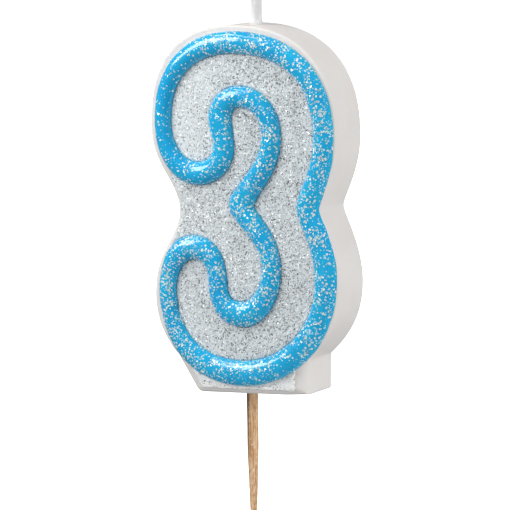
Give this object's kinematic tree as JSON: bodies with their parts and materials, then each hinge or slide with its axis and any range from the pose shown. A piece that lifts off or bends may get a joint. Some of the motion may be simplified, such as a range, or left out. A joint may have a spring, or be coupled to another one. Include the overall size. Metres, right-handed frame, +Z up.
{
  "type": "number birthday candle",
  "caption": "Moulded wax numeral candle in the shape of a 3, with a raised blue glitter outline, silver glitter face, waxed wick and wooden cake pick.",
  "frame": {"origin": "the point where the pick's axis leaves the flat underside of the foot, which is where the candle sits on the cake", "axes": "+Z up along the pick and the wick; the numeral faces -Y and reads upright from that side; +X is to the reader's right"},
  "size_m": [0.0395, 0.0129, 0.1166],
  "materials": {
    "white_wax": "satin",
    "blue_glitter_gel": "gloss",
    "silver_glitter_coat": "satin",
    "cotton_braid": "matte",
    "wick_wax": "satin",
    "birch_wood": "matte"
  },
  "bodies": {
    "root": {"wax_body": "white_wax", "glitter_outline_bead": "blue_glitter_gel", "glitter_field_numeral": "silver_glitter_coat", "glitter_field_counters": "silver_glitter_coat", "glitter_strip_foot": "silver_glitter_coat", "wick_core": "cotton_braid", "wick_wax_coat": "wick_wax", "wooden_pick": "birch_wood"}
  },
  "joints": []
}
